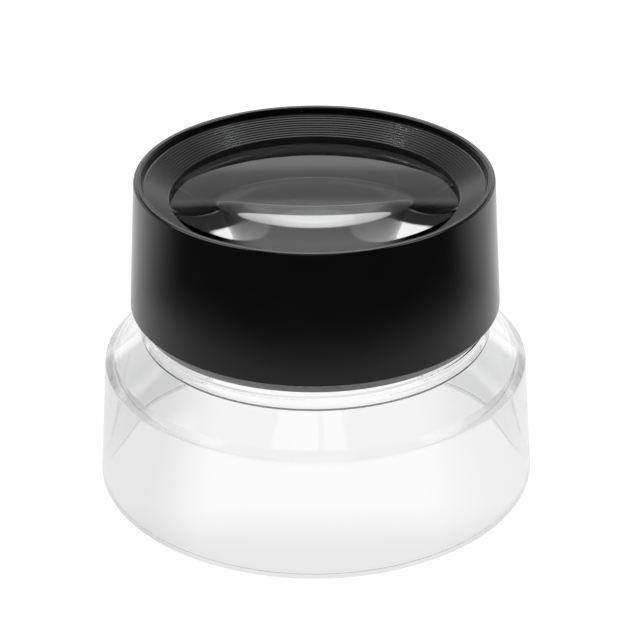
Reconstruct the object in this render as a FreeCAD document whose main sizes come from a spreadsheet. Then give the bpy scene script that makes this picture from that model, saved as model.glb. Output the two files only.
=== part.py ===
"""Stand loupe: a two-lens magnifier in a black barrel that screws up and down on a clear stand.

Everything is turned about the Z axis. The origin is the centre of the stand's foot, +Z is up,
and sizes are in millimetres. Each piece is drawn from its own lowest face and then raised to
the height it has at the middle of the focusing travel.
"""
import FreeCAD, Part
import os
import re
import Sketcher

# Driving sizes. Heights of the stand are measured from the table, all others from the foot of
# the piece they belong to.
SIZES = {
    # clear stand
    "foot_radius": 44.0,
    "foot_wall": 3.0,
    "skirt_radius": 42.0,
    "skirt_height": 24.6,
    "bevel_radius": 40.15,
    "bevel_height": 26.0,
    "collar_radius": 34.6,
    "collar_length": 0.5,
    "shoulder_height": 31.15,
    "neck_root": 33.7,
    "neck_height": 44.0,
    "neck_bore": 32.0,
    "wall": 2.3,
    "corner_drop": 1.2,
    "throat_drop": 0.75,
    "edge_round": 0.35,
    # focusing thread
    "thread_pitch": 1.5,
    "thread_starts": 2,
    "thread_depth": 0.6,
    "thread_root": 0.8,
    "thread_crest": 0.3,
    "thread_gap": 0.15,
    "neck_thread_foot": 32.3,
    "neck_thread_length": 10.5,
    "barrel_thread_length": 5.25,
    # barrel
    "barrel_foot": 35.3,
    "barrel_length": 28.2,
    "barrel_radius": 36.4,
    "foot_bevel_width": 1.6,
    "foot_bevel_height": 2.2,
    "rim_radius": 34.7,
    "lip_radius": 33.15,
    "lip_depth": 1.3,
    "lip_round": 0.6,
    "seat_bore": 32.9,
    "ledge_radius": 32.1,
    "ledge_height": 14.9,
    "ledge_thickness": 1.0,
    # ribbed glare ring
    "aperture_radius": 27.95,
    "ring_height": 3.05,
    "rib_count": 10,
    "bead": 0.12,
    # lens cell
    "cell_foot": 34.0,
    "cell_length": 25.05,
    "sleeve_radius": 31.8,
    "flange_radius": 32.8,
    "flange_foot": 17.25,
    "lip_thickness": 1.05,
    "lens_bore": 29.7,
    "cell_chamfer": 0.5,
    "play": 0.05,
    # lenses and the rings that space and hold them
    "lens_radius": 29.6,
    "rim_thickness": 0.8,
    "upper_curve": 44.0,
    "lower_top_curve": 60.0,
    "lower_foot_curve": 90.0,
    "lens_gap": 0.2,
    "spacer_wall": 1.0,
    "cushion_width": 1.6,
    "cushion_thickness": 0.3,
    "retainer_width": 2.0,
    "retainer_height": 1.7,
    "slot_width": 3.0,
    "slot_depth": 0.8,
}

# Heights worked out from the driving sizes, as text for the expressions. A bulge is how far a
# curved lens face stands out from its rim; a slope is how far it falls over the last millimetre.
LENS_TOP = "(cell_foot + cell_length - lip_thickness)"


def bulge(curve):
    return f"({curve} - sqrt({curve} ^ 2 - lens_radius ^ 2))"


def rim_slope(curve):
    return f"(lens_radius / sqrt({curve} ^ 2 - lens_radius ^ 2))"


UPPER_THICK = f"(rim_thickness + {bulge('upper_curve')})"
LOWER_THICK = f"(rim_thickness + {bulge('lower_top_curve')} + {bulge('lower_foot_curve')})"
LOWER_LENS_FOOT = f"({LENS_TOP} - {UPPER_THICK} - lens_gap - {LOWER_THICK})"
LOWER_RIM_FOOT = f"({LOWER_LENS_FOOT} + {bulge('lower_foot_curve')})"
THREAD_TIP = "(neck_root + thread_gap)"
BARREL_BORE = "(neck_root + thread_depth + thread_gap)"

doc = FreeCAD.newDocument("stand_loupe")
sheet = doc.addObject("Spreadsheet::Sheet", "sizes")
for row, (alias, value) in enumerate(SIZES.items(), start=1):
    sheet.set(f"A{row}", alias.replace("_", " "))
    sheet.set(f"B{row}", str(value))
    sheet.setAlias(f"B{row}", alias)
doc.recompute()


def from_sheet(text):
    """Turn size names in a formula into references to the size sheet."""
    return re.sub(r"[a-z_]+", lambda word: f"sizes.{word[0]}" if word[0] in SIZES else word[0], text)


def bind(thing, **formulas):
    """Tie properties of an object to formulas over the size sheet."""
    for name, text in formulas.items():
        thing.setExpression(name, from_sheet(text))


def raise_to(thing, text):
    thing.setExpression("Placement.Base.z", from_sheet(text))


def new_body(label):
    body = doc.addObject("PartDesign::Body", label)
    body.Label = label
    return body


def origin_feature(body, role):
    return next(item for item in body.Origin.OriginFeatures if item.Role == role)


def outline(body, name, corners, plane="XZ_Plane"):
    """A closed straight-sided outline, every corner tied to the sheet. On the XZ plane a corner is
    a radius and a height; on the XY plane it is an x and a y."""
    sketch = body.newObject("Sketcher::SketchObject", name)
    sketch.AttachmentSupport = (origin_feature(body, plane), [""])
    sketch.MapMode = "FlatFace"
    count = len(corners)
    for index in range(count):
        start = FreeCAD.Vector(10 + index, 10 + index ** 2, 0)
        after = (index + 1) % count
        end = FreeCAD.Vector(10 + after, 10 + after ** 2, 0)
        sketch.addGeometry(Part.LineSegment(start, end), False)
    for index in range(count):
        sketch.addConstraint(Sketcher.Constraint("Coincident", index, 2, (index + 1) % count, 1))
    for index, (radius, height) in enumerate(corners):
        place_corner(sketch, index, "DistanceX", f"radius_{index}", radius, 10 + index)
        if height == "0":
            sketch.addConstraint(Sketcher.Constraint("PointOnObject", index, 1, -1))
        else:
            place_corner(sketch, index, "DistanceY", f"height_{index}", height, 10 + index ** 2)
    doc.recompute()
    return sketch


def place_corner(sketch, index, kind, name, text, start_value):
    number = sketch.addConstraint(Sketcher.Constraint(kind, -1, 1, index, 1, start_value))
    sketch.renameConstraint(number, name)
    sketch.setExpression(f"Constraints.{name}", from_sheet(text))


def turned(body, name, corners):
    """A solid of revolution about the body's Z axis."""
    sketch = outline(body, f"{name}_outline", corners)
    solid = body.newObject("PartDesign::Revolution", name)
    solid.Profile = sketch
    solid.ReferenceAxis = (origin_feature(body, "Z_Axis"), [""])
    solid.Angle = 360
    doc.recompute()
    return solid


def threaded(body, name, corners, length):
    """Wind an outline into a thread and repeat it once for each start."""
    sketch = outline(body, f"{name}_outline", corners)
    ridge = body.newObject("PartDesign::AdditiveHelix", name)
    ridge.Profile = sketch
    ridge.ReferenceAxis = (sketch, ["V_Axis"])
    ridge.Mode = "pitch-height-angle"
    bind(ridge, Pitch="thread_pitch * thread_starts", Height=length)
    doc.recompute()
    starts = body.newObject("PartDesign::PolarPattern", f"{name}_starts")
    starts.Originals = [ridge]
    starts.Axis = (origin_feature(body, "Z_Axis"), [""])
    starts.Angle = 360
    bind(starts, Occurrences="thread_starts")
    body.Tip = starts
    doc.recompute()
    return starts


def rounded(body, base, name, size, *rings):
    """Round the circular edges that lie at the given radius and height."""
    names = []
    for number, edge in enumerate(base.Shape.Edges, start=1):
        if not isinstance(edge.Curve, Part.Circle):
            continue
        for radius, height in rings:
            same_radius = abs(edge.Curve.Radius - radius) < 0.01
            same_height = abs(edge.Curve.Center.z - height) < 0.01
            if same_radius and same_height:
                names.append(f"Edge{number}")
    fillet = body.newObject("PartDesign::Fillet", name)
    fillet.Base = (base, sorted(set(names)))
    bind(fillet, Radius=size)
    doc.recompute()
    return fillet


# Clear stand: a flared skirt, a narrow bevel, a sloping shoulder and a threaded neck in one
# moulding of even wall.
base = new_body("base")
stand = turned(base, "stand", [
    ("foot_radius", "0"),
    ("skirt_radius", "skirt_height"),
    ("bevel_radius", "bevel_height"),
    ("collar_radius", "shoulder_height"),
    ("collar_radius", "shoulder_height + collar_length"),
    ("neck_root", "shoulder_height + collar_length"),
    ("neck_root", "neck_height"),
    ("neck_bore", "neck_height"),
    ("neck_bore", "shoulder_height - throat_drop"),
    ("skirt_radius - wall", "skirt_height - corner_drop"),
    ("foot_radius - foot_wall", "0"),
])
stand_edges = rounded(
    base, stand, "stand_edges", "edge_round",
    (SIZES["foot_radius"], 0),
    (SIZES["skirt_radius"], SIZES["skirt_height"]),
    (SIZES["bevel_radius"], SIZES["bevel_height"]),
)
threaded(base, "neck_thread", [
    ("neck_root - thread_gap", "neck_thread_foot"),
    ("neck_root", "neck_thread_foot"),
    ("neck_root + thread_depth", "neck_thread_foot + (thread_root - thread_crest) / 2"),
    ("neck_root + thread_depth", "neck_thread_foot + (thread_root + thread_crest) / 2"),
    ("neck_root", "neck_thread_foot + thread_root"),
    ("neck_root - thread_gap", "neck_thread_foot + thread_root"),
], "neck_thread_length")

# Barrel: tapered outside, with a rounded rim and a bevelled foot. Below its inner ledge it is
# threaded for the neck; above the ledge it is bored for the lens cell and the glare ring. The bore
# has a shallow groove that the glare ring snaps into.
BEAD_HEIGHT = "barrel_length - lip_depth - ring_height / 2"
barrel = new_body("barrel")
casing = turned(barrel, "casing", [
    ("barrel_radius - foot_bevel_width", "0"),
    ("barrel_radius", "foot_bevel_height"),
    ("rim_radius", "barrel_length"),
    ("lip_radius", "barrel_length"),
    ("lip_radius", "barrel_length - lip_depth"),
    ("seat_bore", "barrel_length - lip_depth"),
    ("seat_bore", f"{BEAD_HEIGHT} + 2 * bead"),
    ("seat_bore + bead", f"{BEAD_HEIGHT} + bead"),
    ("seat_bore + bead", f"{BEAD_HEIGHT} - bead"),
    ("seat_bore", f"{BEAD_HEIGHT} - 2 * bead"),
    ("seat_bore", "ledge_height + ledge_thickness"),
    ("ledge_radius", "ledge_height + ledge_thickness"),
    ("ledge_radius", "ledge_height"),
    (BARREL_BORE, "ledge_height"),
    (BARREL_BORE, "thread_gap"),
    (f"{BARREL_BORE} + thread_gap", "0"),
])
casing_rim = rounded(
    barrel, casing, "casing_rim", "lip_round",
    (SIZES["rim_radius"], SIZES["barrel_length"]),
    (SIZES["lip_radius"], SIZES["barrel_length"]),
)
# At rest the barrel's ridges run midway between the neck's ridges: half a pitch out of step.
BARREL_THREAD = "(neck_thread_foot + 4.5 * thread_pitch - barrel_foot)"
threaded(barrel, "barrel_thread", [
    (f"{BARREL_BORE} + thread_gap", BARREL_THREAD),
    (BARREL_BORE, BARREL_THREAD),
    (THREAD_TIP, f"{BARREL_THREAD} + (thread_root - thread_crest) / 2"),
    (THREAD_TIP, f"{BARREL_THREAD} + (thread_root + thread_crest) / 2"),
    (BARREL_BORE, f"{BARREL_THREAD} + thread_root"),
    (f"{BARREL_BORE} + thread_gap", f"{BARREL_THREAD} + thread_root"),
], "barrel_thread_length")
raise_to(barrel, "barrel_foot")

# Glare ring: a dished ring whose upper side steps down to the aperture in fine concentric ribs.
# A bead round its outside snaps into the barrel's groove.
glare_ring = new_body("glare_ring")
RIB_RUN = "((seat_bore - 4 * play - aperture_radius) / rib_count)"
RIB_RISE = "(ring_height / rib_count)"
ribs = []
for rib in range(SIZES["rib_count"]):
    ribs.append((f"aperture_radius + {rib} * {RIB_RUN}", f"{rib + 1} * {RIB_RISE}"))
    ribs.append((f"aperture_radius + {rib + 1} * {RIB_RUN}", f"{rib + 1} * {RIB_RISE}"))
turned(glare_ring, "ribbed_dish", [
    ("aperture_radius", "0"),
    *ribs,
    ("seat_bore - play", "ring_height"),
    ("seat_bore - play", "ring_height / 2 + 2 * bead"),
    ("seat_bore - play + bead", "ring_height / 2 + bead"),
    ("seat_bore - play + bead", "ring_height / 2 - bead"),
    ("seat_bore - play", "ring_height / 2 - 2 * bead"),
    ("seat_bore - play", "0"),
])
raise_to(glare_ring, "cell_foot + cell_length + play")

# Lens cell: a tube with an inward lip over the upper lens and an outward flange that rests on the
# barrel's ledge. Its lower end runs inside the neck.
lens_cell = new_body("lens_cell")
turned(lens_cell, "cell_tube", [
    ("lens_bore + cell_chamfer", "0"),
    ("sleeve_radius", "0"),
    ("sleeve_radius", "flange_foot"),
    ("flange_radius", "flange_foot"),
    ("flange_radius", "cell_length"),
    ("aperture_radius", "cell_length"),
    ("aperture_radius", "cell_length - lip_thickness"),
    ("lens_bore", "cell_length - lip_thickness"),
    ("lens_bore", "cell_chamfer"),
])
raise_to(lens_cell, "cell_foot")


def turned_lens(label, thickness, height, **balls):
    """A lens: the part of a disc that lies inside every ball. A ball is given by its radius and
    the height of its centre above the lens's lowest point."""
    disc = doc.addObject("Part::Cylinder", f"{label}_disc")
    bind(disc, Radius="lens_radius", Height=thickness)
    solids = [disc]
    for side, (curve, centre) in balls.items():
        ball = doc.addObject("Part::Sphere", f"{label}_{side}_ball")
        bind(ball, Radius=curve)
        raise_to(ball, centre)
        solids.append(ball)
    lens = doc.addObject("Part::MultiCommon", label)
    lens.Label = label
    lens.Shapes = solids
    raise_to(lens, height)
    return lens


# Upper lens: flat above, bulging below. Lower lens: bulging on both sides. They almost touch on
# the axis.
upper_lens = turned_lens("upper_lens", UPPER_THICK, f"{LENS_TOP} - {UPPER_THICK}",
                         below=("upper_curve", "upper_curve"))
lower_lens = turned_lens("lower_lens", LOWER_THICK, LOWER_LENS_FOOT,
                         above=("lower_top_curve", f"{LOWER_THICK} - lower_top_curve"),
                         below=("lower_foot_curve", "lower_foot_curve"))

# Spacer: a thin tube between the rims of the two lenses. Its ends slope away from the curved faces
# at the slope those faces have at their rims, so it touches each lens only at the rim.
lens_spacer = new_body("lens_spacer")
SPACER_LENGTH = f"({bulge('upper_curve')} + lens_gap + {bulge('lower_top_curve')})"
turned(lens_spacer, "spacer_tube", [
    ("lens_radius", "0"),
    ("lens_radius", SPACER_LENGTH),
    ("lens_radius - spacer_wall", f"{SPACER_LENGTH} - spacer_wall * {rim_slope('upper_curve')}"),
    ("lens_radius - spacer_wall", f"spacer_wall * {rim_slope('lower_top_curve')}"),
])
raise_to(lens_spacer, f"{LOWER_RIM_FOOT} + rim_thickness")

# Cushion: a soft washer under the rim of the lower lens, with a top that follows the lens's slope.
cushion_ring = new_body("cushion_ring")
CUSHION_RISE = f"(cushion_width * {rim_slope('lower_foot_curve')})"
turned(cushion_ring, "cushion_washer", [
    ("lens_radius - cushion_width", "0"),
    ("lens_radius", "0"),
    ("lens_radius", f"cushion_thickness + {CUSHION_RISE}"),
    ("lens_radius - cushion_width", "cushion_thickness"),
])
CUSHION_FOOT = f"({LOWER_RIM_FOOT} - cushion_thickness - {CUSHION_RISE})"
raise_to(cushion_ring, CUSHION_FOOT)

# Retaining ring: screwed into the cell from below to hold the lenses, with two slots across its
# lower face for a pin wrench.
retaining_ring = new_body("retaining_ring")
plain_ring = turned(retaining_ring, "plain_ring", [
    ("lens_bore - play - retainer_width", "0"),
    ("lens_bore - play", "0"),
    ("lens_bore - play", "retainer_height"),
    ("lens_bore - play - retainer_width", "retainer_height"),
])
slot_sketch = outline(retaining_ring, "slot_outline", [
    ("-lens_bore - retainer_width", "-slot_width / 2"),
    ("lens_bore + retainer_width", "-slot_width / 2"),
    ("lens_bore + retainer_width", "slot_width / 2"),
    ("-lens_bore - retainer_width", "slot_width / 2"),
], plane="XY_Plane")
slots = retaining_ring.newObject("PartDesign::Pocket", "wrench_slots")
slots.Profile = slot_sketch
slots.Reversed = True
bind(slots, Length="slot_depth")
raise_to(retaining_ring, f"{CUSHION_FOOT} - retainer_height")
doc.recompute()
if slots.Shape.Volume > plain_ring.Shape.Volume - SIZES["slot_depth"]:
    raise RuntimeError("the wrench slots cut nothing")

# Check the whole document, then write one file for each piece.
for item in doc.Objects:
    if "Invalid" in item.State or "Error" in item.State:
        raise RuntimeError(f"{item.Label} did not build: {item.State}")
PIECES = [base, barrel, glare_ring, lens_cell, upper_lens, lens_spacer, lower_lens, cushion_ring,
          retaining_ring]
for piece in PIECES:
    if piece.Shape.isNull() or not piece.Shape.isValid() or len(piece.Shape.Solids) != 1:
        raise RuntimeError(f"{piece.Label} is not one sound solid")
os.makedirs("parts", exist_ok=True)
for piece in PIECES:
    piece.Shape.exportStep(f"parts/{piece.Label}.step")
    print(piece.Label, round(piece.Shape.Volume, 1))
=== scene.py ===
"""Looks of the stand loupe: fine turned meshes, materials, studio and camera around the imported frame."""

import math

import bmesh
import bpy
from mathutils import Matrix, Quaternion, Vector


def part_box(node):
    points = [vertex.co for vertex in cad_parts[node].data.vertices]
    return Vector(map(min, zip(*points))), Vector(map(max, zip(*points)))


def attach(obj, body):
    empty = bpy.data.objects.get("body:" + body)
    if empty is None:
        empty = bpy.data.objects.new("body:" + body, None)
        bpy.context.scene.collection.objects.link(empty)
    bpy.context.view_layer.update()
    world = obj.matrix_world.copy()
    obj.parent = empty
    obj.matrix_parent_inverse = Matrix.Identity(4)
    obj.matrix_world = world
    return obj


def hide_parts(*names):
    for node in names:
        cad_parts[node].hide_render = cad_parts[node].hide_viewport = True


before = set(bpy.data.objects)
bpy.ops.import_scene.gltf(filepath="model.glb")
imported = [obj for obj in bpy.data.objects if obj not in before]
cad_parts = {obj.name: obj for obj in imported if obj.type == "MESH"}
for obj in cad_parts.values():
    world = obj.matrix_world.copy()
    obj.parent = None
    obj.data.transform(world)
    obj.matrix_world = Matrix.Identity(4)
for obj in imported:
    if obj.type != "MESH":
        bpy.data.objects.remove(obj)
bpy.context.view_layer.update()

MM = 0.001


# ---------------------------------------------------------------------------------------------
# Sizes in millimetres. The frame gives the outer ones, and the inner ones are close to the model's.
# ---------------------------------------------------------------------------------------------
def span(node):
    """Outer radius, foot height and top height of a turned node, in millimetres."""
    low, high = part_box(node)
    return high.x / MM, low.z / MM, high.z / MM


FOOT_R, FOOT_Z, NECK_TOP = span("base")
BARREL_R, BARREL_FOOT, RIM_TOP = span("barrel")
RING_R, RING_FOOT, RING_TOP = span("glare_ring")
FLANGE_R, CELL_FOOT, CELL_TOP = span("lens_cell")
LENS_R, _, UPPER_TOP = span("upper_lens")
_, SPACER_FOOT, _ = span("lens_spacer")

# Clear stand
WALL = 2.3
FOOT_WALL = 3
SKIRT_R = 42.0
SKIRT_TOP = 24.6
BEVEL_R = 40.15
BEVEL_TOP = 26.0
CORNER_DROP = 1.2
SHOULDER_TOP = 31.15
THROAT_DROP = 0.75
COLLAR_R = 34.6
COLLAR_TOP = 31.65
NECK_R = 33.7
NECK_BORE = 32.0
EDGE_ROUND = 0.35
PLAY = 0.05

# Focusing thread. Its profile is given in shares of the pitch and of the depth.
THREAD_DEPTH = 0.6
THREAD_PITCH = 1.5
THREAD_STARTS = 2
THREAD_GAP = 0.15
THREAD_PROFILE = ((0.0, 0.0), (0.17, 1.0), (0.37, 1.0), (0.53, 0.0), (0.77, 0.0))
NECK_THREAD_FOOT = 32.3
NECK_THREAD_TOP = 43.6
BARREL_THREAD_FOOT = NECK_THREAD_FOOT + 4.5 * THREAD_PITCH
BARREL_THREAD_LENGTH = 6

# Barrel
RIM_R = 34.7
LIP_R = 33.15
LIP_DEPTH = 1.3
LIP_ROUND = 0.6
SEAT_R = 32.9
LEDGE_R = 32.1
LEDGE_Z = BARREL_FOOT + 14.9
LEDGE_THICKNESS = 1
FOOT_BEVEL_WIDTH = 1.6
FOOT_BEVEL_HEIGHT = 2.2
BORE_R = NECK_R + THREAD_DEPTH + THREAD_GAP
TIP_R = NECK_R + THREAD_GAP

# Ribbed glare ring. The frame's radius takes in a hidden bead, which is left out here. The treads
# slope and their corners are rounded for the looks alone: in the model they are flat and sharp.
RIBS = 10
APERTURE_R = 27.95
BEAD = 0.12
TREAD_SLOPE = math.radians(10)
CREST_ROUND = 0.09
ROOT_ROUND = 0.03

# Lens cell and lenses
SLEEVE_R = 31.8
CELL_BORE = LENS_R + 2 * PLAY
CELL_CHAMFER = 0.5
FLANGE_Z = LEDGE_Z + LEDGE_THICKNESS + PLAY
UPPER_CURVE = 44.0
LOWER_TOP_CURVE = 60.0
LOWER_FOOT_CURVE = 90.0
LENS_RIM = 0.8

# ---------------------------------------------------------------------------------------------
# Mesh helpers
# ---------------------------------------------------------------------------------------------
SEGMENTS = 384
SHARP_ANGLE = math.radians(35)
ON_AXIS = 1e-6
MERGE_DISTANCE = 2e-6
FILLET_LIMIT = 0.49  # the share of a side that one fillet may take


def rounded_outline(corners, arc_steps=5):
    """Corners are (radius, height) or (radius, height, fillet). A fillet is cut as an arc."""
    points = []
    for index, corner in enumerate(corners):
        here = Vector(corner[:2])
        fillet = corner[2] if len(corner) > 2 else 0
        if not fillet:
            points.append(tuple(here))
            continue
        before = Vector(corners[index - 1][:2]) - here
        after = Vector(corners[(index + 1) % len(corners)][:2]) - here
        half_turn = before.angle(after) / 2
        reach = min(fillet / math.tan(half_turn), min(before.length, after.length) * FILLET_LIMIT)
        size = reach * math.tan(half_turn)
        inwards = (before.normalized() + after.normalized()).normalized()
        middle = here + inwards * (size / math.sin(half_turn))
        start = here + before.normalized() * reach - middle
        end = here + after.normalized() * reach - middle
        for step in range(arc_steps + 1):
            points.append(tuple(middle + start.slerp(end, step / arc_steps) * size))
    return points


def turned_point(radius, height, step):
    """A point in metres, from millimetres and a number of segments round the axis."""
    angle = 2 * math.pi * step / SEGMENTS
    return radius * MM * math.cos(angle), radius * MM * math.sin(angle), height * MM


def finish_piece(name, mesh_maker, material):
    """Turn the faces outwards and link them as a smooth piece with sharp creases."""
    bmesh.ops.recalc_face_normals(mesh_maker, faces=mesh_maker.faces)
    mesh = bpy.data.meshes.new(name)
    mesh_maker.to_mesh(mesh)
    mesh_maker.free()
    for polygon in mesh.polygons:
        polygon.use_smooth = True
    mesh.materials.append(material)
    mesh.set_sharp_from_angle(angle=SHARP_ANGLE)
    piece = bpy.data.objects.new(name, mesh)
    bpy.context.scene.collection.objects.link(piece)
    return piece


def join_rings(mesh_maker, lower, upper):
    """Join two rings of vertices. A ring on the axis is one vertex, and two of those need no face."""
    if len(lower) == 1 and len(upper) == 1:
        return
    for step in range(SEGMENTS):
        after = (step + 1) % SEGMENTS
        if len(lower) == 1:
            mesh_maker.faces.new((lower[0], upper[step], upper[after]))
        elif len(upper) == 1:
            mesh_maker.faces.new((lower[step], upper[0], lower[after]))
        else:
            mesh_maker.faces.new((lower[step], upper[step], upper[after], lower[after]))


def lathe(name, outline, material):
    """Turn a list of (radius, height) round the Z axis."""
    mesh_maker = bmesh.new()
    rings = []
    for radius, height in outline:
        steps = 1 if radius < ON_AXIS else SEGMENTS
        rings.append([mesh_maker.verts.new(turned_point(radius, height, step)) for step in range(steps)])
    for index, ring in enumerate(rings):
        join_rings(mesh_maker, ring, rings[(index + 1) % len(rings)])
    return finish_piece(name, mesh_maker, material)


def thread_points(step, root, crest, foot, top):
    """A thread's (radius, height) points, some segments round the axis. It fades out at both ends."""
    climb = THREAD_PITCH * THREAD_STARTS * step / SEGMENTS
    turns_above = int((top - foot) / THREAD_PITCH) + THREAD_STARTS + 3
    points = []
    for turn in range(-THREAD_STARTS - 1, turns_above):
        for share, rise in THREAD_PROFILE:
            height = foot + (turn + share) * THREAD_PITCH + climb
            height = min(max(height, foot), top)
            fade = min(1, (height - foot) / THREAD_PITCH, (top - height) / THREAD_PITCH)
            points.append((root + (crest - root) * rise * fade, height))
    return points


def threaded_lathe(name, outline, root, crest, foot, top, material):
    """A lathe with a helical thread from foot to top, between the radii root and crest. The outline
    begins just above the thread and ends just below it."""
    mesh_maker = bmesh.new()
    columns = []
    for step in range(SEGMENTS + 1):
        path = thread_points(step, root, crest, foot, top) + outline
        columns.append([mesh_maker.verts.new(turned_point(radius, height, step)) for radius, height in path])
    for here, beside in zip(columns, columns[1:]):
        for index in range(len(here)):
            above = (index + 1) % len(here)
            mesh_maker.faces.new((here[index], here[above], beside[above], beside[index]))
    bmesh.ops.remove_doubles(mesh_maker, verts=mesh_maker.verts, dist=MERGE_DISTANCE)
    return finish_piece(name, mesh_maker, material)


# How near a face's middle has to be to an edge, or how squarely it has to face down, to count as on it.
MARGIN = 0.1
REST_FACE_MARGIN = 0.02
BEVEL_BAND = 0.3
RIM_HIGHLIGHT_DEPTH = 0.15
FACES_DOWN = -0.99


def paint_faces(piece, material, belongs):
    """Give a material to the faces for which belongs(reach, height, normal) holds."""
    piece.data.materials.append(material)
    slot = len(piece.data.materials) - 1
    for polygon in piece.data.polygons:
        if belongs(polygon.center.xy.length / MM, polygon.center.z / MM, polygon.normal):
            polygon.material_index = slot


def stand_in(piece, node, body):
    """Let a piece stand for a CAD node and ride on its body."""
    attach(piece, body)
    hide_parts(node)


# ---------------------------------------------------------------------------------------------
# Node helpers
# ---------------------------------------------------------------------------------------------
NOISE_ROUGHNESS = 0.55


class NodeTree:
    """Adds nodes to a node tree. A value handed in is a number or the output of another node."""

    def __init__(self, owner):
        owner.use_nodes = True
        self.nodes = owner.node_tree.nodes
        self.links = owner.node_tree.links

    def add(self, kind):
        return self.nodes.new("ShaderNode" + kind)

    def light_path(self, question):
        """One of the light path's answers, such as how much glass the light has passed."""
        return self.add("LightPath").outputs[question]

    def axes(self, position):
        parts = self.add("SeparateXYZ")
        self.links.new(position, parts.inputs["Vector"])
        return parts.outputs

    def noise(self, scale, detail):
        texture = self.add("TexNoise")
        texture.inputs["Scale"].default_value = scale
        texture.inputs["Detail"].default_value = detail
        texture.inputs["Roughness"].default_value = NOISE_ROUGHNESS
        self.links.new(self.add("TexCoord").outputs["Object"], texture.inputs["Vector"])
        return texture.outputs["Fac"]

    def ramp(self, value, low, high, out_low, out_high):
        """Map value from low..high to out_low..out_high, in a straight line."""
        node = self.add("MapRange")
        node.inputs["From Min"].default_value = low
        node.inputs["From Max"].default_value = high
        node.inputs["To Min"].default_value = out_low
        node.inputs["To Max"].default_value = out_high
        self.links.new(value, node.inputs["Value"])
        return node.outputs["Result"]

    def fade(self, value, limits, out_low, out_high):
        """out_low where value is below both limits and out_high above them, with a soft step between."""
        result = self.ramp(value, *limits, out_low, out_high)
        result.node.interpolation_type = "SMOOTHSTEP"
        return result

    def maths(self, operation, *values):
        node = self.add("Math")
        node.operation = operation
        for socket, value in zip(node.inputs, values):
            if isinstance(value, (int, float)):
                socket.default_value = value
            else:
                self.links.new(value, socket)
        return node.outputs[0]

    def multiply(self, first, second):
        return self.maths("MULTIPLY", first, second)

    def blend(self, share, plain, special):
        """plain where share is 0 and special where it is 1."""
        kept = self.multiply(self.maths("SUBTRACT", 1.0, share), plain)
        return self.maths("ADD", kept, self.multiply(share, special))

    def mix_colours(self, share, first, second):
        node = self.add("Mix")
        node.data_type = "RGBA"
        self.links.new(share, node.inputs["Factor"])
        node.inputs["A"].default_value = (*first, 1)
        node.inputs["B"].default_value = (*second, 1)
        return node.outputs["Result"]

    def bump(self, value, strength, distance):
        node = self.add("Bump")
        node.inputs["Strength"].default_value = strength
        node.inputs["Distance"].default_value = distance
        self.links.new(value, node.inputs["Height"])
        return node.outputs["Normal"]


# ---------------------------------------------------------------------------------------------
# Materials
# ---------------------------------------------------------------------------------------------
ACRYLIC_IOR = 1.49
GLASS_IOR = 1.52
ROUGHNESS_DRIFT = 0.15
CLOUD_LIMITS = (0.3, 0.7)
GRAIN_DEPTH = 0.00002
RIPPLE_DEPTH = 0.0002
FROSTED_SHARE = 0.8


def new_material(name):
    """A material, its node tree and its surface shader."""
    material = bpy.data.materials.new(name)
    tree = NodeTree(material)
    return material, tree, tree.nodes["Principled BSDF"]


def vary_roughness(tree, surface, cloud, rough):
    """Let the roughness drift a little about its mean, with a noise."""
    drift = tree.ramp(cloud, *CLOUD_LIMITS, rough * (1 - ROUGHNESS_DRIFT), rough * (1 + ROUGHNESS_DRIFT))
    tree.links.new(drift, surface.inputs["Roughness"])


def pass_light(surface, ior):
    surface.inputs["Transmission Weight"].default_value = 1
    surface.inputs["IOR"].default_value = ior


def moulded_plastic(name, dark, pale, rough, grain, shine=0.5):
    """Black moulded plastic or rubber: fine grain in the bump, faint cloudiness in colour and roughness."""
    material, tree, surface = new_material(name)
    cloud = tree.noise(scale=60, detail=3)
    fine = tree.noise(scale=1800, detail=2)
    tree.links.new(tree.mix_colours(cloud, dark, pale), surface.inputs["Base Color"])
    vary_roughness(tree, surface, cloud, rough)
    tree.links.new(tree.bump(fine, grain, GRAIN_DEPTH), surface.inputs["Normal"])
    surface.inputs["IOR"].default_value = ACRYLIC_IOR
    surface.inputs["Specular IOR Level"].default_value = shine
    return material


def clear_plastic(name):
    """Clear acrylic: polished, with a trace of tint, faint moulding ripple and patches of fine scuffs."""
    material, tree, surface = new_material(name)
    ripple = tree.noise(scale=45, detail=1)
    scuff = tree.noise(scale=260, detail=6)
    tint = tree.mix_colours(ripple, (0.985, 0.99, 0.99), (0.995, 0.995, 0.995))
    tree.links.new(tint, surface.inputs["Base Color"])
    tree.links.new(tree.bump(ripple, 0.10, RIPPLE_DEPTH), surface.inputs["Normal"])
    tree.links.new(tree.ramp(scuff, 0.55, 0.8, 0.0, 0.03), surface.inputs["Roughness"])
    pass_light(surface, ACRYLIC_IOR)
    return material


def slant_shaded_plastic(name, face_on, edge_on, rough):
    """Acrylic of a narrow edge, tinted darker so that it passes less light the more slantwise it is seen:
    painted shade.
    """
    material, tree, surface = new_material(name)
    slant = tree.add("LayerWeight")
    slant.inputs["Blend"].default_value = 0.5
    share = tree.fade(slant.outputs["Facing"], (0.1, 0.6), 0.0, 1.0)
    tree.links.new(tree.mix_colours(share, face_on, edge_on), surface.inputs["Base Color"])
    vary_roughness(tree, surface, tree.noise(scale=400, detail=4), rough)
    pass_light(surface, ACRYLIC_IOR)
    return material


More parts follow.
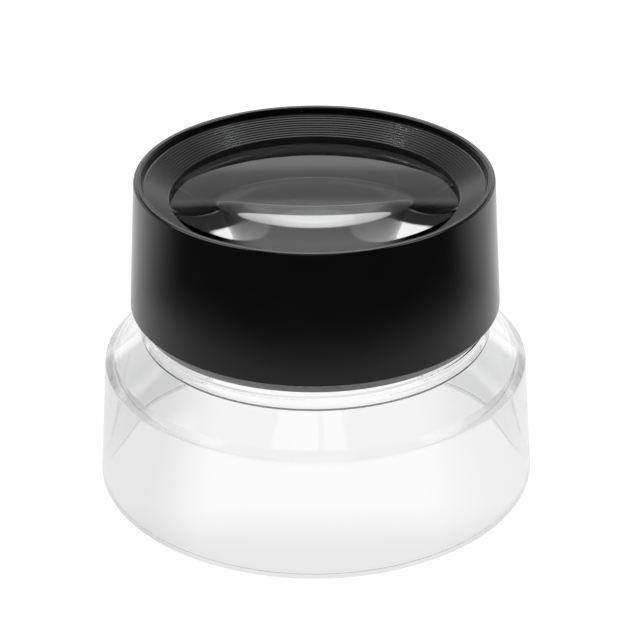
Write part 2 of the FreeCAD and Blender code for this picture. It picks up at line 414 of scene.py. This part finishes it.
def ground_plastic(name):
    """The ground rest face of the stand: finely frosted, so it passes light but scatters it."""
    material, tree, surface = new_material(name)
    grain = tree.noise(scale=2500, detail=3)
    through = tree.add("BsdfTranslucent")
    tree.links.new(tree.mix_colours(grain, (0.90, 0.90, 0.90), (0.98, 0.98, 0.98)), through.inputs["Color"])
    surface.inputs["Base Color"].default_value = (0.85, 0.85, 0.85, 1)
    surface.inputs["Roughness"].default_value = 0.8
    mixed = tree.add("MixShader")
    mixed.inputs["Fac"].default_value = FROSTED_SHARE
    tree.links.new(surface.outputs["BSDF"], mixed.inputs[1])
    tree.links.new(through.outputs["BSDF"], mixed.inputs[2])
    tree.links.new(mixed.outputs["Shader"], tree.nodes["Material Output"].inputs["Surface"])
    return material


def lens_glass(name):
    """Polished optical glass with a trace of uneven tint."""
    material, tree, surface = new_material(name)
    tint = tree.mix_colours(tree.noise(scale=30, detail=2), (0.985, 0.99, 0.985), (0.995, 1.0, 0.995))
    tree.links.new(tint, surface.inputs["Base Color"])
    surface.inputs["Roughness"].default_value = 0.0
    pass_light(surface, GLASS_IOR)
    return material


ACRYLIC = clear_plastic("clear_acrylic")
# Painted shade: the bevel's acrylic is tinted grey where it is seen slantwise.
BEVEL_SHADE = slant_shaded_plastic("clear_bevel_painted_shade", (0.95, 0.95, 0.95), (0.55, 0.55, 0.55), rough=0.10)
# Painted shadow: the collar's narrow upright face is tinted nearly black, for a shadow line at the neck's
# root.
COLLAR_SHADOW = slant_shaded_plastic("collar_painted_shadow", (0.06, 0.06, 0.06), (0.008, 0.008, 0.008), rough=0.25)
GROUND = ground_plastic("ground_foot")
CASING = moulded_plastic("black_casing", (0.0014, 0.0014, 0.0016), (0.0026, 0.0026, 0.003),
                         rough=0.18, grain=0.25, shine=0.31)
# Painted highlight: the rim's top is a lighter and shinier copy of the black casing, so that a highlight
# shows along it.
RIM_HIGHLIGHT = moulded_plastic("black_rim_painted_highlight", (0.003, 0.003, 0.003), (0.006, 0.006, 0.006),
                           rough=0.12, grain=0.1, shine=0.8)
# Painted light: the barrel's foot bevel is a grey copy of the black casing, standing in for the light it
# catches from below.
FOOT_BEVEL_LIGHT = moulded_plastic("black_foot_bevel_painted_light", (0.055, 0.055, 0.056), (0.07, 0.07, 0.072),
                            rough=0.30, grain=0.3)
MATTE = moulded_plastic("black_matte", (0.012, 0.012, 0.013), (0.022, 0.022, 0.023),
                        rough=0.20, grain=0.35)
CELL = moulded_plastic("black_cell", (0.006, 0.006, 0.006), (0.009, 0.009, 0.009),
                       rough=0.45, grain=0.15)
SPACER = moulded_plastic("black_spacer", (0.018, 0.018, 0.018), (0.028, 0.028, 0.028),
                         rough=0.4, grain=0.12)
RUBBER = moulded_plastic("soft_rubber", (0.012, 0.012, 0.012), (0.02, 0.02, 0.02),
                         rough=0.75, grain=0.8)
GLASS = lens_glass("coated_glass")

# ---------------------------------------------------------------------------------------------
# Clear stand
# ---------------------------------------------------------------------------------------------
stand_outline = rounded_outline([
    (NECK_R, NECK_TOP, 0.25),
    (NECK_BORE, NECK_TOP, 0.2),
    (NECK_BORE, SHOULDER_TOP - THROAT_DROP, 0.4),
    (SKIRT_R - WALL, SKIRT_TOP - CORNER_DROP, 1.5),
    (FOOT_R - FOOT_WALL, FOOT_Z, 0.2),
    (FOOT_R, FOOT_Z, EDGE_ROUND),
    (SKIRT_R, SKIRT_TOP, EDGE_ROUND),
    (BEVEL_R, BEVEL_TOP, EDGE_ROUND),
    (COLLAR_R, SHOULDER_TOP, 0.15),
    (COLLAR_R, COLLAR_TOP, 0.1),
    (NECK_R, COLLAR_TOP, 0.1),
])
base = threaded_lathe("base_moulding", stand_outline, NECK_R, NECK_R + THREAD_DEPTH,
                      NECK_THREAD_FOOT, NECK_THREAD_TOP, ACRYLIC)
stand_in(base, "base", "stand")


def on_rest_face(reach, height, normal):
    return normal.z < FACES_DOWN and height < FOOT_Z + REST_FACE_MARGIN


def on_bevel(reach, height, normal):
    return SKIRT_TOP - MARGIN < height < BEVEL_TOP + MARGIN and reach > BEVEL_R - BEVEL_BAND


def on_collar_edge(reach, height, normal):
    return SHOULDER_TOP + PLAY < height < COLLAR_TOP - PLAY and reach > COLLAR_R - MARGIN


paint_faces(base, GROUND, on_rest_face)
# Painted shade on the bevel.
paint_faces(base, BEVEL_SHADE, on_bevel)
# Painted shadow line on the collar's upright face.
paint_faces(base, COLLAR_SHADOW, on_collar_edge)

# ---------------------------------------------------------------------------------------------
# Barrel
# ---------------------------------------------------------------------------------------------
barrel_outline = rounded_outline([
    (BORE_R, LEDGE_Z),
    (LEDGE_R, LEDGE_Z),
    (LEDGE_R, LEDGE_Z + LEDGE_THICKNESS),
    (SEAT_R, LEDGE_Z + LEDGE_THICKNESS),
    (SEAT_R, RIM_TOP - LIP_DEPTH),
    (LIP_R, RIM_TOP - LIP_DEPTH, 0.05),
    (LIP_R, RIM_TOP, LIP_ROUND),
    (RIM_R, RIM_TOP, LIP_ROUND),
    (BARREL_R, BARREL_FOOT + FOOT_BEVEL_HEIGHT, 0.1),
    (BARREL_R - FOOT_BEVEL_WIDTH, BARREL_FOOT, 0.05),
    (BORE_R + THREAD_GAP, BARREL_FOOT),
    (BORE_R, BARREL_FOOT + THREAD_GAP),
], arc_steps=6)
barrel = threaded_lathe("barrel_casing", barrel_outline, BORE_R, TIP_R,
                        BARREL_THREAD_FOOT, BARREL_THREAD_FOOT + BARREL_THREAD_LENGTH, CASING)
stand_in(barrel, "barrel", "focus_ring")


def on_foot_bevel(reach, height, normal):
    return height - BARREL_FOOT < FOOT_BEVEL_HEIGHT - MARGIN and reach > BARREL_R - FOOT_BEVEL_WIDTH


def on_rim_top(reach, height, normal):
    return height > RIM_TOP - RIM_HIGHLIGHT_DEPTH


# Painted light on the barrel's foot bevel.
paint_faces(barrel, FOOT_BEVEL_LIGHT, on_foot_bevel)
# Painted highlight along the rim's top.
paint_faces(barrel, RIM_HIGHLIGHT, on_rim_top)

# ---------------------------------------------------------------------------------------------
# Ribbed glare ring
# ---------------------------------------------------------------------------------------------
RING_WALL_R = RING_R - BEAD
rib_run = (RING_WALL_R - PLAY - APERTURE_R) / RIBS
rib_rise = (RING_TOP - RING_FOOT) / RIBS
tread_drop = rib_run * math.tan(TREAD_SLOPE)
ring_outline = [(APERTURE_R, RING_FOOT)]
for rib in range(RIBS):
    tread_height = RING_FOOT + (rib + 1) * rib_rise
    last = rib == RIBS - 1
    ring_outline.append((APERTURE_R + rib * rib_run, tread_height - tread_drop, CREST_ROUND))
    ring_outline.append((APERTURE_R + (rib + 1) * rib_run, tread_height, 0 if last else ROOT_ROUND))
ring_outline += [(RING_WALL_R, RING_TOP), (RING_WALL_R, RING_FOOT)]
ring = lathe("glare_ring_ribs", rounded_outline(ring_outline, arc_steps=3), MATTE)
stand_in(ring, "glare_ring", "focus_ring")

# ---------------------------------------------------------------------------------------------
# Lens cell and what it holds
# ---------------------------------------------------------------------------------------------
cell = lathe("lens_cell_tube", rounded_outline([
    (CELL_BORE + CELL_CHAMFER, CELL_FOOT),
    (SLEEVE_R, CELL_FOOT, 0.2),
    (SLEEVE_R, FLANGE_Z),
    (FLANGE_R, FLANGE_Z, 0.1),
    (FLANGE_R, CELL_TOP, 0.15),
    (APERTURE_R, CELL_TOP, 0.1),
    (APERTURE_R, UPPER_TOP, 0.1),
    (CELL_BORE, UPPER_TOP),
    (CELL_BORE, CELL_FOOT + CELL_CHAMFER),
]), CELL)
stand_in(cell, "lens_cell", "lens_unit")


def flat(height, steps=6):
    """Points of a flat face from the axis to the rim."""
    return [(LENS_R * step / steps, height) for step in range(steps + 1)]


def cap(curve, edge_height, side, steps=72):
    """Points of a spherical face from the rim to the axis. side is +1 for a face that bulges up and
    -1 for one that bulges down."""
    sag = curve - math.sqrt(curve ** 2 - LENS_R ** 2)
    points = []
    for step in range(steps + 1):
        radius = LENS_R * (1 - step / steps)
        here = curve - math.sqrt(curve ** 2 - radius ** 2)
        points.append((radius, edge_height + side * (sag - here)))
    return points


upper_outline = flat(UPPER_TOP) + cap(UPPER_CURVE, UPPER_TOP - LENS_RIM, -1)
upper = lathe("upper_lens_glass", upper_outline, GLASS)
stand_in(upper, "upper_lens", "lens_unit")

lower_outline = cap(LOWER_TOP_CURVE, SPACER_FOOT, 1)[::-1] + cap(LOWER_FOOT_CURVE, SPACER_FOOT - LENS_RIM, -1)
lower = lathe("lower_lens_glass", lower_outline, GLASS)
stand_in(lower, "lower_lens", "lens_unit")

for node_name, finish in (("lens_spacer", SPACER), ("cushion_ring", RUBBER), ("retaining_ring", CELL)):
    kept_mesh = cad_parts[node_name].data
    kept_mesh.materials.clear()
    kept_mesh.materials.append(finish)

# ---------------------------------------------------------------------------------------------
# Floor: white paper on a light table. Distances are from the loupe's axis, in metres.
# ---------------------------------------------------------------------------------------------
FLOOR_SIZE = 6
FLOOR_DROP = 0.0003
FLOOR_GLOW = 0.97
FLOOR_ALBEDO = 0.22

# How many clear faces light has passed: any at all, both lenses, or both lenses and the stand's wall.
PASSED_GLASS = 0.5
PASSED_LENSES = 3.5
PASSED_STAND_TOO = 5.5

# What reflections see: bright paper near the loupe and behind it, a dark room in front.
REFLECTED_NEAR = (0.11, 0.165)
REFLECTED_BEHIND = (-0.05, 0.11)
REFLECTED_NEAR_TONE = 0.8
REFLECTED_FRONT_TONE = 0.04

# What is seen through glass: painted shade inside the foot and just outside it, but not round the axis;
# a painted pool of light towards the back; painted shade at the sides.
INSIDE_FOOT = (0.0410, 0.0415)
BESIDE_FOOT = (0.0517, 0.0530)
OFF_AXIS = (0.022, 0.033)
LENS_SHADE_TONE = 0.02
LIGHT_POOL_BACK = (-0.034, -0.014)
LIGHT_POOL_TONES = (1.03, 1.22)
LEFT_SHADE = (-0.034, -0.020)
LEFT_SHADE_TONE = 0.82
RIGHT_SHADE = (0.020, 0.036)
RIGHT_SHADE_TONE = 0.90


def reflected_floor(tree, place, distance):
    """The floor's tone in reflections."""
    near = tree.fade(distance, REFLECTED_NEAR, REFLECTED_NEAR_TONE, REFLECTED_FRONT_TONE)
    behind = tree.fade(place["Y"], REFLECTED_BEHIND, 0.0, 1.0)
    return tree.maths("MAXIMUM", near, behind)


def lens_shade(tree, distance, inside_foot, glass_passed):
    """How deep a floor point lies in the shade that the lenses see inside the stand. It leaves a
    bright spot round the axis."""
    through_lenses = tree.maths("GREATER_THAN", glass_passed, PASSED_LENSES)
    through_stand_too = tree.maths("GREATER_THAN", glass_passed, PASSED_STAND_TOO)
    beside_foot = tree.fade(distance, BESIDE_FOOT, 1.0, 0.0)
    shaded = tree.maths("MAXIMUM", tree.multiply(through_lenses, inside_foot),
                        tree.multiply(through_stand_too, beside_foot))
    return tree.multiply(shaded, tree.fade(distance, OFF_AXIS, 0.0, 1.0))


def floor_tone(tree):
    """The share of its full brightness that the floor shows to each kind of ray."""
    position = tree.add("NewGeometry").outputs["Position"]
    place = tree.axes(position)
    length = tree.add("VectorMath")
    length.operation = "LENGTH"
    tree.links.new(position, length.inputs[0])
    distance = length.outputs["Value"]
    glass_passed = tree.light_path("Transmission Depth")
    through_glass = tree.maths("GREATER_THAN", glass_passed, PASSED_GLASS)
    inside_foot = tree.fade(distance, INSIDE_FOOT, 1.0, 0.0)

    tone = tree.blend(tree.light_path("Is Glossy Ray"), 1.0, reflected_floor(tree, place, distance))
    # Painted pool of light on the paper towards the back, seen through glass.
    light_pool = tree.fade(place["Y"], LIGHT_POOL_BACK, *LIGHT_POOL_TONES)
    tone = tree.multiply(tone, tree.blend(tree.multiply(inside_foot, through_glass), 1.0, light_pool))
    # Painted shade at the sides, on paper seen through glass.
    side_shade = tree.maths("MINIMUM", tree.fade(place["X"], LEFT_SHADE, LEFT_SHADE_TONE, 1.0),
                       tree.fade(place["X"], RIGHT_SHADE, 1.0, RIGHT_SHADE_TONE))
    tone = tree.multiply(tone, tree.blend(through_glass, 1.0, side_shade))
    shade = lens_shade(tree, distance, inside_foot, glass_passed)
    return tree.multiply(tone, tree.blend(shade, 1.0, LENS_SHADE_TONE))


def floor_paper():
    """White paper that is lit from below and a little from above."""
    material, tree, surface = new_material("floor_paper")
    tone = floor_tone(tree)
    albedo = tree.multiply(tone, FLOOR_ALBEDO)
    grey = tree.add("CombineColor")
    for channel in grey.inputs:
        tree.links.new(albedo, channel)
    tree.links.new(grey.outputs["Color"], surface.inputs["Base Color"])
    surface.inputs["Roughness"].default_value = 0.9
    surface.inputs["Specular IOR Level"].default_value = 0.0
    surface.inputs["Emission Color"].default_value = (1, 1, 1, 1)
    tree.links.new(tree.multiply(tone, FLOOR_GLOW), surface.inputs["Emission Strength"])
    return material


def add_floor():
    half = FLOOR_SIZE / 2
    mesh = bpy.data.meshes.new("floor")
    mesh.from_pydata([(-half, -half, 0), (half, -half, 0), (half, half, 0), (-half, half, 0)],
                     [], [(0, 1, 2, 3)])
    mesh.materials.append(floor_paper())
    sheet = bpy.data.objects.new("floor", mesh)
    bpy.context.scene.collection.objects.link(sheet)
    sheet.location.z = -FLOOR_DROP


add_floor()

# ---------------------------------------------------------------------------------------------
# Room: even and pale for diffuse light. Reflections see a bright strip straight behind and dark in
# front. Light that has passed through glass sees a glow low down and another straight behind, and
# dark elsewhere. Both see a soft box on each side. Heights and sideways reaches are those of a
# direction of length 1.
# ---------------------------------------------------------------------------------------------
# Soft boxes: direction, then the angles in degrees where the light is full and where it ends.
SOFT_BOXES = (((0.56, 0.12, 0.82), 10, 13), ((-0.56, 0.17, 0.81), 16, 19))
BOX_SHINE = 2.0
ROOM_TONE = 0.8

# Tones of the bright strip, from its foot to its top, as (share of the strip's height, tone).
STRIP_HEIGHTS = (0.400, 0.445)
STRIP_TONES = ((0.00, 1.30), (0.14, 1.20), (0.26, 0.60), (0.45, 0.50), (0.56, 0.95), (0.66, 0.62),
               (0.80, 0.80), (0.92, 0.98))

# The strip is wide at its foot, narrow above that, and opens into a bright patch overhead.
NARROW_FROM = (0.4215, 0.4255)
OVERHEAD_FROM = (0.452, 0.465)
WIDE_REACH = (0.055, 0.11)
WIDE_TONES = (1.0, 1.5)
NARROW_REACH = (0.026, 0.046)
NARROW_TONES = (1.05, 0.0)
OVERHEAD_REACH = (0.12, 0.20)
OVERHEAD_TONES = (1.95, 0.10)

# The dark front, and the dark band between the floor and the strip.
FRONT_FADE = (-0.1, 0.6)
FRONT_TONE = 0.06
BAND_FOOT = (0.04, 0.12)
BAND_TOP = (0.30, 0.39)
BAND_TONE = 0.2

# What light sees that has passed through glass.
LOW_GLOW_HEIGHTS = (0.05, 0.35)
LOW_GLOW_TONES = (0.85, 0.03)
BACK_GLOW_FADE = (0.5, 0.75)
BACK_GLOW_TONE = 0.95
BOXES_AFTER_REFLECTIONS = 2.5
BELOW_LENSES_TONE = 0.05


def soft_box(tree, direction, centre, full, end):
    """A round patch of light in the room."""
    product = tree.add("VectorMath")
    product.operation = "DOT_PRODUCT"
    tree.links.new(direction, product.inputs[0])
    product.inputs[1].default_value = Vector(centre).normalized()
    edge = (math.cos(math.radians(end)), math.cos(math.radians(full)))
    return tree.fade(product.outputs["Value"], edge, 0.0, 1.0)


def strip_tone(tree, height):
    """The strip's tone by height alone."""
    scale = tree.add("ValToRGB")
    scale.color_ramp.interpolation = "EASE"
    tree.links.new(tree.ramp(height, *STRIP_HEIGHTS, 0.0, 1.0), scale.inputs["Fac"])
    stops = scale.color_ramp.elements
    while len(stops) < len(STRIP_TONES):
        stops.new(0.5)
    for stop, (share, tone) in zip(stops, STRIP_TONES):
        stop.position = share
        stop.color = (tone, tone, tone, 1)
    return scale.outputs["Color"]


def strip_spread(tree, sideways, height):
    """How the strip's tone changes away from its middle."""
    wide = tree.fade(sideways, WIDE_REACH, *WIDE_TONES)
    narrow = tree.fade(sideways, NARROW_REACH, *NARROW_TONES)
    overhead = tree.fade(sideways, OVERHEAD_REACH, *OVERHEAD_TONES)
    lower_part = tree.blend(tree.fade(height, NARROW_FROM, 0.0, 1.0), wide, narrow)
    return tree.blend(tree.fade(height, OVERHEAD_FROM, 0.0, 1.0), lower_part, overhead)


def reflected_room(tree, axes, boxes):
    """The room's tone in reflections."""
    sideways = tree.maths("ABSOLUTE", axes["X"])
    strip = tree.multiply(strip_tone(tree, axes["Z"]), strip_spread(tree, sideways, axes["Z"]))
    front_shade = tree.fade(axes["Y"], FRONT_FADE, FRONT_TONE, 1.0)
    low_shade = tree.maths("MAXIMUM", tree.fade(axes["Z"], BAND_FOOT, 1.0, BAND_TONE),
                           tree.fade(axes["Z"], BAND_TOP, BAND_TONE, 1.0))
    backdrop = tree.multiply(strip, tree.multiply(front_shade, low_shade))
    return tree.maths("ADD", backdrop, tree.multiply(boxes, BOX_SHINE))


def refracted_room(tree, axes, boxes):
    """The room's tone through glass. The soft boxes show only after several reflections."""
    low_glow = tree.fade(axes["Z"], LOW_GLOW_HEIGHTS, *LOW_GLOW_TONES)
    back_glow = tree.fade(axes["Y"], BACK_GLOW_FADE, 0.0, BACK_GLOW_TONE)
    turned_back = tree.maths("GREATER_THAN", tree.light_path("Glossy Depth"), BOXES_AFTER_REFLECTIONS)
    tone = tree.maths("ADD", tree.maths("MAXIMUM", low_glow, back_glow), tree.multiply(boxes, turned_back))
    below_lenses = tree.maths("GREATER_THAN", tree.light_path("Transmission Depth"), PASSED_STAND_TOO)
    return tree.multiply(tone, tree.blend(below_lenses, 1.0, BELOW_LENSES_TONE))


def add_room():
    world = bpy.data.worlds.new("room")
    bpy.context.scene.world = world
    tree = NodeTree(world)
    direction = tree.add("TexCoord").outputs["Generated"]
    axes = tree.axes(direction)
    boxes = tree.maths("MAXIMUM", *(soft_box(tree, direction, *box) for box in SOFT_BOXES))
    tone = tree.blend(tree.light_path("Is Glossy Ray"), ROOM_TONE, reflected_room(tree, axes, boxes))
    tone = tree.blend(tree.light_path("Is Transmission Ray"), tone, refracted_room(tree, axes, boxes))
    background = tree.nodes["Background"]
    background.inputs["Color"].default_value = (1, 1, 1, 1)
    tree.links.new(tone, background.inputs["Strength"])


add_room()

# ---------------------------------------------------------------------------------------------
# Lamps. Each pane is (name, sideways place, width, power). Places and sizes in metres, power in watts.
# ---------------------------------------------------------------------------------------------
WINDOW_PANES = (("window_left_pane", -0.14, 0.32, 0.26), ("window_right_pane", 0.133, 0.155, 0.13))
WINDOW_Y = -0.47
WINDOW_HEIGHT = 0.9
WINDOW_DEPTH = 0.2

RIB_SPOTS = (("rib_spot_left", -0.30), ("rib_spot_right", 0.30))
RIB_SPOT_HEIGHT = 0.45
RIB_SPOT_AIM = 0.06
RIB_SPOT_SIZE = 0.04
RIB_SPOT_POWER = 0.8


def area_light(name, place, target, size, power):
    """A soft lamp that isn't seen through glass."""
    light = bpy.data.lights.new(name, "AREA")
    light.shape = "RECTANGLE"
    light.size, light.size_y = size
    light.energy = power
    tree = NodeTree(light)
    unpassed = tree.maths("LESS_THAN", tree.light_path("Transmission Depth"), PASSED_GLASS)
    tree.links.new(unpassed, tree.nodes["Emission"].inputs["Strength"])
    lamp = bpy.data.objects.new(name, light)
    bpy.context.scene.collection.objects.link(lamp)
    lamp.location = place
    lamp.rotation_mode = "QUATERNION"
    lamp.rotation_quaternion = (Vector(target) - Vector(place)).to_track_quat("-Z", "Y")
    return lamp


for pane_name, pane_x, pane_width, pane_power in WINDOW_PANES:
    area_light(pane_name, (pane_x, WINDOW_Y, WINDOW_HEIGHT), (pane_x, WINDOW_Y, 0),
               (pane_width, WINDOW_DEPTH), pane_power)

# Two small lamps light the ribbed ring alone, for the glints on its ribs.
lit_by_spots = bpy.data.collections.new("lit_by_spots")
lit_by_spots.objects.link(ring)
for spot_name, spot_x in RIB_SPOTS:
    spot = area_light(spot_name, (spot_x, 0, RIB_SPOT_HEIGHT), (0, 0, RIB_SPOT_AIM),
                      (RIB_SPOT_SIZE, RIB_SPOT_SIZE), RIB_SPOT_POWER)
    spot.light_linking.receiver_collection = lit_by_spots

# ---------------------------------------------------------------------------------------------
# Camera: in front of the loupe and looking down at it. Its reach and aim scale with the foot.
# ---------------------------------------------------------------------------------------------
CAMERA_TILT = math.radians(28.27)
CAMERA_REACH = 9.502 * FOOT_R * MM
AIM_HEIGHT = 0.7205 * FOOT_R * MM
CAMERA_ROLL = 0.0062
SENSOR_WIDTH = 36
FOCAL_LENGTH = 118.1
SIDE_SHIFT = 0.00738


def add_camera():
    lens = bpy.data.cameras.new("camera")
    lens.sensor_width = SENSOR_WIDTH
    lens.lens = FOCAL_LENGTH
    lens.shift_x = SIDE_SHIFT
    camera = bpy.data.objects.new("camera", lens)
    bpy.context.scene.collection.objects.link(camera)
    sight = Vector((0, math.cos(CAMERA_TILT), -math.sin(CAMERA_TILT)))
    camera.location = (0, -math.cos(CAMERA_TILT) * CAMERA_REACH,
                       AIM_HEIGHT + math.sin(CAMERA_TILT) * CAMERA_REACH)
    level = Matrix.Rotation(math.pi / 2 - CAMERA_TILT, 3, "X").to_quaternion()
    camera.rotation_mode = "QUATERNION"
    camera.rotation_quaternion = Quaternion(sight, CAMERA_ROLL) @ level
    bpy.context.scene.camera = camera


add_camera()

# Light crosses many glass faces before it reaches the floor, so it needs many bounces.
scene = bpy.context.scene
scene.view_settings.view_transform = "Standard"
scene.cycles.max_bounces = 24
scene.cycles.transmission_bounces = 24
scene.cycles.glossy_bounces = 12
scene.cycles.caustics_refractive = True
